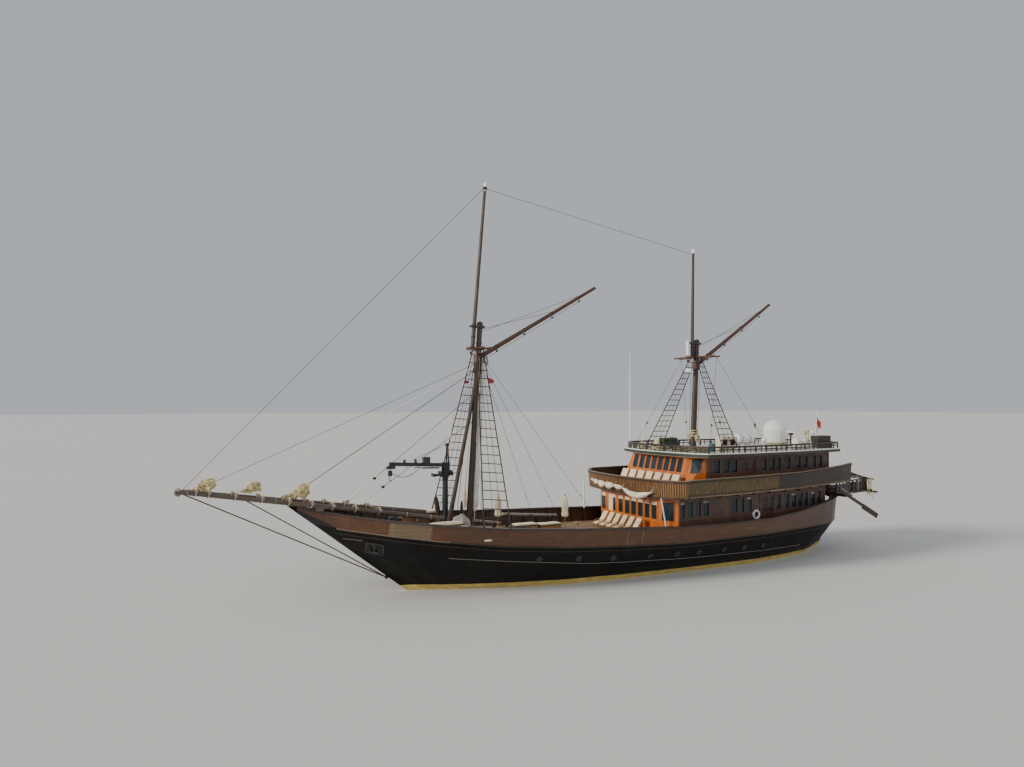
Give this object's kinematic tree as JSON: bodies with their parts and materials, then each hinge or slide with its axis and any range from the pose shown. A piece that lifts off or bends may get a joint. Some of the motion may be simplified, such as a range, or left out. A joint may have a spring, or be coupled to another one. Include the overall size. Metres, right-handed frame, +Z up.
{
  "type": "two-masted wooden phinisi schooner, 1:2 scale model",
  "caption": "Wooden gaff-rigged schooner at half scale: raked bow, long bowsprit platform, tripod foremast, mizzen on a two-storey deckhouse, crane, doors, rudders and propeller that move.",
  "frame": {"origin": "on the waterline, on the centreline, half way along the waterline", "axes": "+X to the bow, +Y to port, +Z up"},
  "size_m": [24.95, 5.64, 13.6417],
  "materials": {
    "hull_black": "satin black paint",
    "bulwark_brown": "varnished brown planking",
    "rail_dark": "dark oiled timber",
    "deck_teak": "bare teak deck planking",
    "front_teak": "orange varnished teak",
    "cabin_brown": "dark varnished teak",
    "roof_grey": "weathered grey paint",
    "spar_dark": "dark oiled spars",
    "rope_dark": "tarred rope",
    "canvas": "off-white canvas",
    "steel_dark": "dark painted steel",
    "white_gel": "white gelcoat",
    "bronze": "bronze"
  },
  "bodies": {
    "ship": {"air_unit_fore": "white_gel", "air_unit_aft": "white_gel", "bobstays": "rope_dark", "bowsprit": "spar_dark", "bulwark_port": "bulwark_brown", "bulwark_starboard": "bulwark_brown", "cabin_aft_wall": "cabin_brown", "cabin_wall_port": "cabin_brown", "cabin_wall_starboard": "cabin_brown", "cap_rail_port": "rail_dark", "cap_rail_starboard": "rail_dark", "crane_pedestal": "steel_dark", "fore_crosstree": "spar_dark", "fore_mast": "spar_dark", "fore_mast_leg": "spar_dark", "fore_shrouds_port": "rope_dark", "fore_shrouds_starboard": "rope_dark", "fore_stays": "rope_dark", "fore_topmast": "spar_dark", "furled_foresail": "canvas", "hull": "hull_black", "liferafts": "white_gel", "main_deck": "deck_teak", "mizzen_crosstree": "spar_dark", "mizzen_mast": "spar_dark", "mizzen_shrouds_port": "rope_dark", "mizzen_shrouds_starboard": "rope_dark", "mizzen_topmast": "spar_dark", "radar_post": "white_gel", "radome": "white_gel", "roof": "roof_grey", "roof_rail": "rail_dark", "saloon_aft_wall": "cabin_brown", "saloon_front": "front_teak", "saloon_wall_port": "cabin_brown", "saloon_wall_starboard": "cabin_brown", "sat_domes": "white_gel", "stern_gallery": "spar_dark", "topmast_stays": "rope_dark", "upper_deck": "deck_teak", "upper_parapet_port": "bulwark_brown", "upper_parapet_starboard": "bulwark_brown", "wheelhouse_front": "front_teak"},
    "rudder": {"rudder": "spar_dark"},
    "propeller": {"propeller": "bronze"},
    "main_gaff": {"main_gaff": "spar_dark"},
    "mizzen_gaff": {"mizzen_gaff": "spar_dark"},
    "crane_head": {"crane_head": "steel_dark"},
    "crane_boom": {"crane_boom": "steel_dark"},
    "radar_bar": {"radar_bar": "white_gel"},
    "quarter_rudder_port": {"quarter_rudder_port": "spar_dark"},
    "quarter_rudder_starboard": {"quarter_rudder_starboard": "spar_dark"},
    "saloon_door_fore_port": {"saloon_door_fore_port": "cabin_brown"},
    "saloon_door_fore_starboard": {"saloon_door_fore_starboard": "cabin_brown"},
    "saloon_door_aft_port": {"saloon_door_aft_port": "cabin_brown"},
    "saloon_door_aft_starboard": {"saloon_door_aft_starboard": "cabin_brown"},
    "cabin_door_fore_port": {"cabin_door_fore_port": "cabin_brown"},
    "cabin_door_fore_starboard": {"cabin_door_fore_starboard": "cabin_brown"},
    "cabin_door_aft_port": {"cabin_door_aft_port": "cabin_brown"},
    "cabin_door_aft_starboard": {"cabin_door_aft_starboard": "cabin_brown"}
  },
  "joints": [
    {"name": "rudder_turn", "type": "hinge", "parent": "ship", "child": "rudder", "pos_m": [-7.65, 0, -0.7], "axis": [0, 0, 1], "range_deg": [-35, 35]},
    {"name": "propeller_spin", "type": "hinge", "parent": "ship", "child": "propeller", "pos_m": [-6.9, 0, -0.775], "axis": [1, 0, 0], "continuous": true},
    {"name": "main_gaff_swing", "type": "hinge", "parent": "ship", "child": "main_gaff", "pos_m": [6.16667, 0, 6.88774], "axis": [-0.0597, 0, 0.9982], "range_deg": [-30, 30]},
    {"name": "mizzen_gaff_swing", "type": "hinge", "parent": "ship", "child": "mizzen_gaff", "pos_m": [-2.41701, 0, 6.83589], "axis": [-0.0523, 0, 0.9986], "range_deg": [-30, 30]},
    {"name": "crane_slew", "type": "hinge", "parent": "ship", "child": "crane_head", "pos_m": [7.05, -0.5, 3.3], "axis": [0, 0, 1], "range_deg": [-100, 0]},
    {"name": "crane_luff", "type": "hinge", "parent": "crane_head", "child": "crane_boom", "pos_m": [7.05, -0.5, 3.575], "axis": [0, -1, 0], "range_deg": [-15, 60]},
    {"name": "radar_turn", "type": "hinge", "parent": "ship", "child": "radar_bar", "pos_m": [-6.2, 0.8, 4.4], "axis": [0, 0, 1], "continuous": true},
    {"name": "quarter_rudder_lift_port", "type": "hinge", "parent": "ship", "child": "quarter_rudder_port", "pos_m": [-7.375, 2.3, 2.15], "axis": [0, -1, 0], "range_deg": [-29, 60]},
    {"name": "quarter_rudder_lift_starboard", "type": "hinge", "parent": "ship", "child": "quarter_rudder_starboard", "pos_m": [-7.375, -2.3, 2.15], "axis": [0, -1, 0], "range_deg": [-29, 60]},
    {"name": "saloon_door_fore_port_swing", "type": "hinge", "parent": "ship", "child": "saloon_door_fore_port", "pos_m": [-3.62496, 1.922, 1.775], "axis": [0, 0, -1], "range_deg": [0, 100]},
    {"name": "saloon_door_fore_starboard_swing", "type": "hinge", "parent": "ship", "child": "saloon_door_fore_starboard", "pos_m": [-3.62496, -1.922, 1.775], "axis": [0, 0, 1], "range_deg": [0, 100]},
    {"name": "saloon_door_aft_port_swing", "type": "hinge", "parent": "ship", "child": "saloon_door_aft_port", "pos_m": [-4.17504, 1.889, 1.775], "axis": [0, 0, 1], "range_deg": [0, 100]},
    {"name": "saloon_door_aft_starboard_swing", "type": "hinge", "parent": "ship", "child": "saloon_door_aft_starboard", "pos_m": [-4.17504, -1.889, 1.775], "axis": [0, 0, -1], "range_deg": [0, 100]},
    {"name": "cabin_door_fore_port_swing", "type": "hinge", "parent": "ship", "child": "cabin_door_fore_port", "pos_m": [-2.82496, 1.8275, 3.105], "axis": [0, 0, -1], "range_deg": [0, 100]},
    {"name": "cabin_door_fore_starboard_swing", "type": "hinge", "parent": "ship", "child": "cabin_door_fore_starboard", "pos_m": [-2.82496, -1.8275, 3.105], "axis": [0, 0, 1], "range_deg": [0, 100]},
    {"name": "cabin_door_aft_port_swing", "type": "hinge", "parent": "ship", "child": "cabin_door_aft_port", "pos_m": [-3.42504, 1.7915, 3.105], "axis": [0, 0, 1], "range_deg": [0, 100]},
    {"name": "cabin_door_aft_starboard_swing", "type": "hinge", "parent": "ship", "child": "cabin_door_aft_starboard", "pos_m": [-3.42504, -1.7915, 3.105], "axis": [0, 0, -1], "range_deg": [0, 100]}
  ]
}
